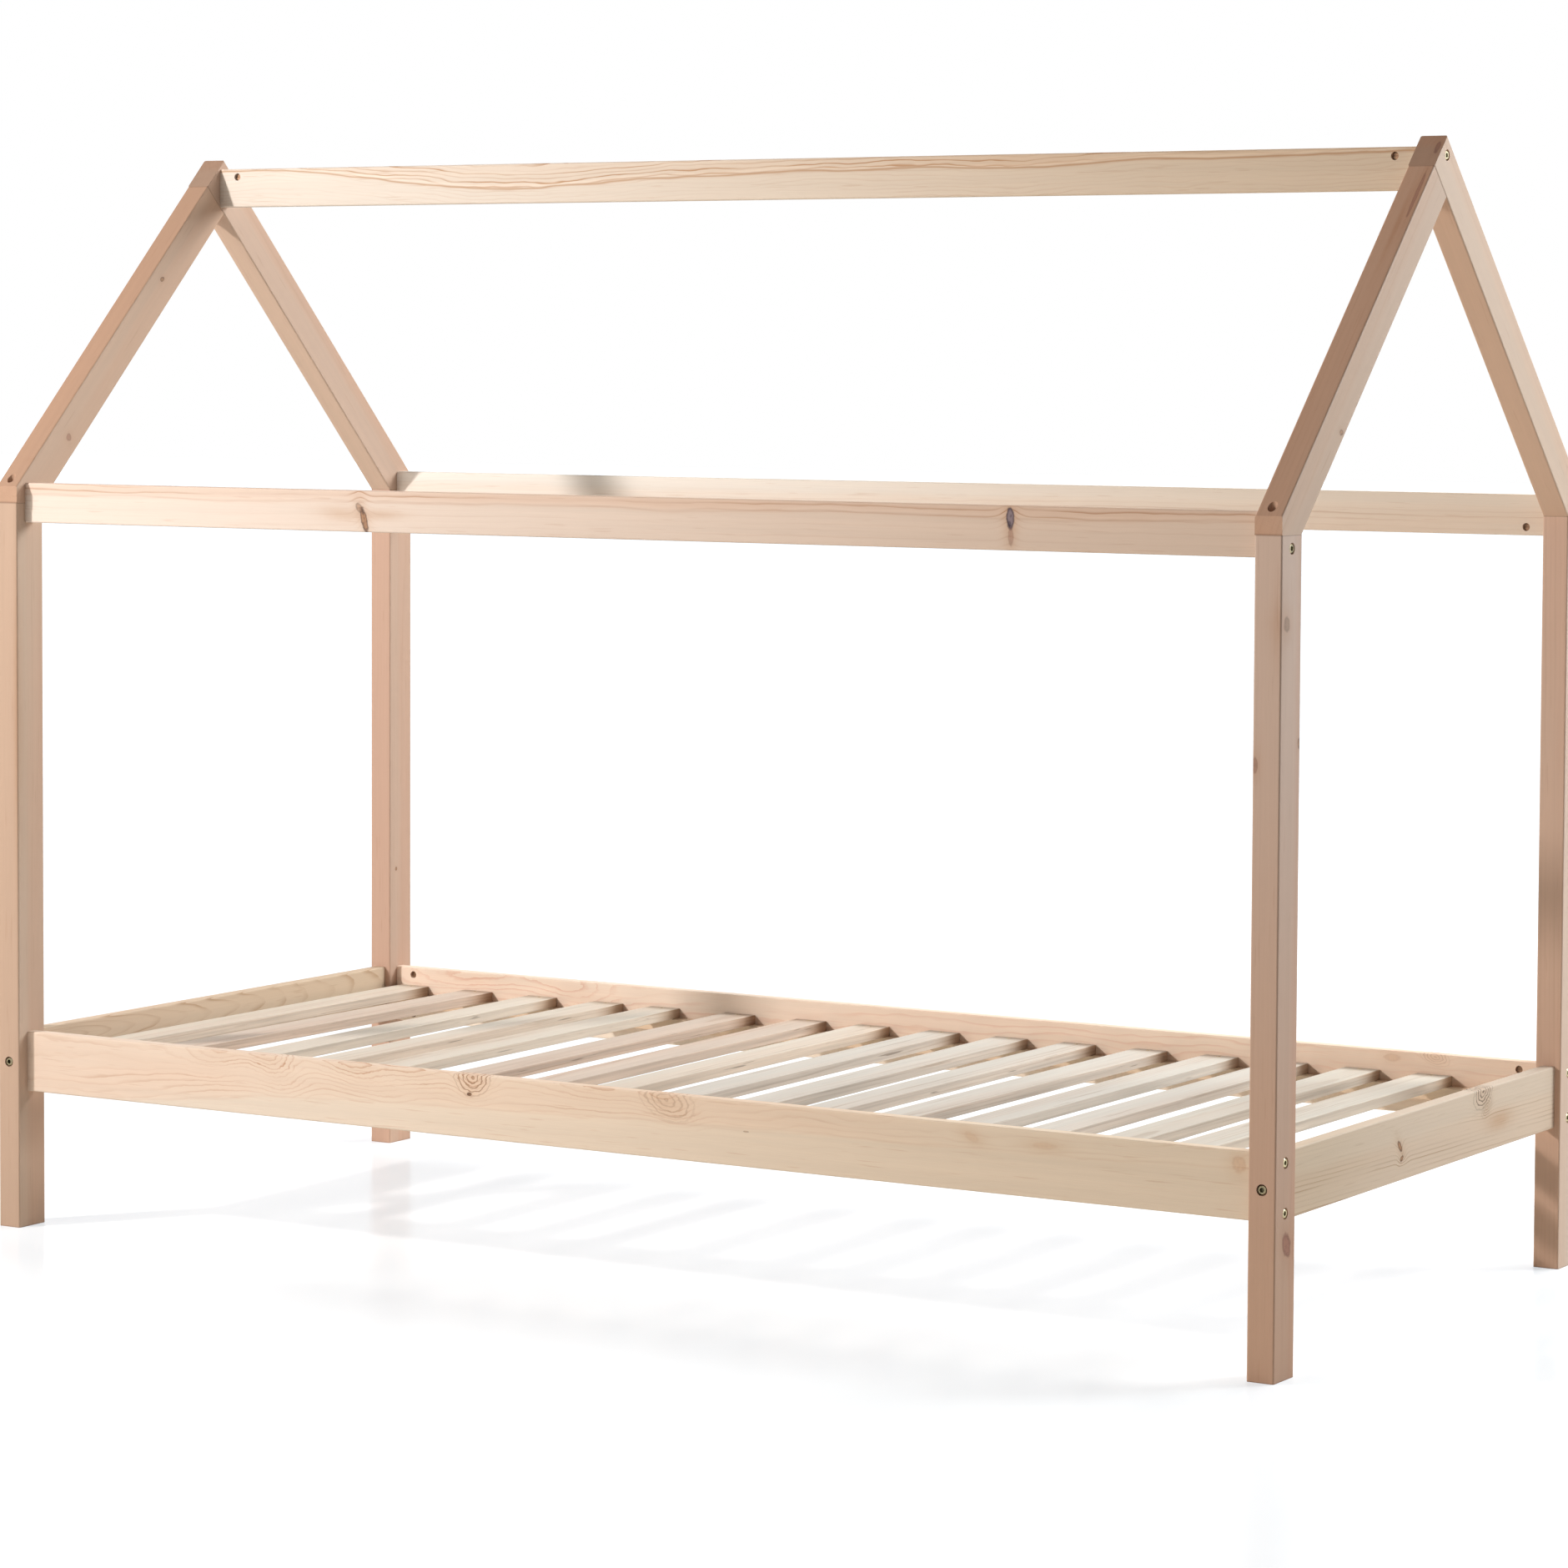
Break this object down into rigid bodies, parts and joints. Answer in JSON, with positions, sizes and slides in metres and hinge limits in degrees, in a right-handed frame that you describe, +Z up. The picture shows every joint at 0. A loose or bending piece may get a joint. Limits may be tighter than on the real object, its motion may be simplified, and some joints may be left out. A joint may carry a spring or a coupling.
{
  "type": "house-frame child's bed",
  "caption": "Child's single bed in unfinished pine with a slatted base and an open frame of posts, beams and rafters shaped like a house.",
  "frame": {"origin": "on the floor, under the middle of the bed's outline", "axes": "+X along the bed, +Y across it towards the side whose rafters run through to the peak, +Z up"},
  "size_m": [2.07, 0.98, 1.578],
  "materials": {
    "pine_post": "planed, unfinished",
    "pine_rafter": "planed, unfinished",
    "pine_beam": "planed, unfinished",
    "pine_rail": "planed, unfinished",
    "pine_ledger": "planed, unfinished",
    "pine_slat": "planed, unfinished",
    "beech_dowel": "plain",
    "zinc_steel": "yellowish zinc plating",
    "nut_steel": "zinc plating"
  },
  "bodies": {
    "root": {"post_front_left": "pine_post", "post_front_right": "pine_post", "post_back_left": "pine_post", "post_back_right": "pine_post", "rafter_front_left": "pine_rafter", "rafter_front_right": "pine_rafter", "rafter_back_left": "pine_rafter", "rafter_back_right": "pine_rafter", "ridge_beam": "pine_beam", "eave_beam_front": "pine_beam", "eave_beam_back": "pine_beam", "side_rail_front": "pine_rail", "side_rail_back": "pine_rail", "end_rail_left": "pine_rail", "end_rail_right": "pine_rail", "slat_ledger_front": "pine_ledger", "slat_ledger_back": "pine_ledger", "slat_01": "pine_slat", "slat_02": "pine_slat", "slat_03": "pine_slat", "slat_04": "pine_slat", "slat_05": "pine_slat", "slat_06": "pine_slat", "slat_07": "pine_slat", "slat_08": "pine_slat", "slat_09": "pine_slat", "slat_10": "pine_slat", "slat_11": "pine_slat", "slat_12": "pine_slat", "slat_13": "pine_slat", "slat_14": "pine_slat", "slat_15": "pine_slat", "slat_16": "pine_slat", "side_rail_bolts": "zinc_steel", "side_rail_nuts": "nut_steel", "end_rail_bolts": "zinc_steel", "end_rail_nuts": "nut_steel", "eave_bolts": "zinc_steel", "eave_nuts": "nut_steel", "ridge_bolts": "zinc_steel", "ridge_nuts": "nut_steel", "rafter_foot_screws": "zinc_steel", "apex_screws": "zinc_steel", "slat_screws": "zinc_steel", "ledger_screws": "zinc_steel", "rafter_foot_dowels": "beech_dowel", "apex_dowels": "beech_dowel", "eave_dowels": "beech_dowel", "ridge_dowels": "beech_dowel", "end_rail_dowels": "beech_dowel"}
  },
  "joints": []
}
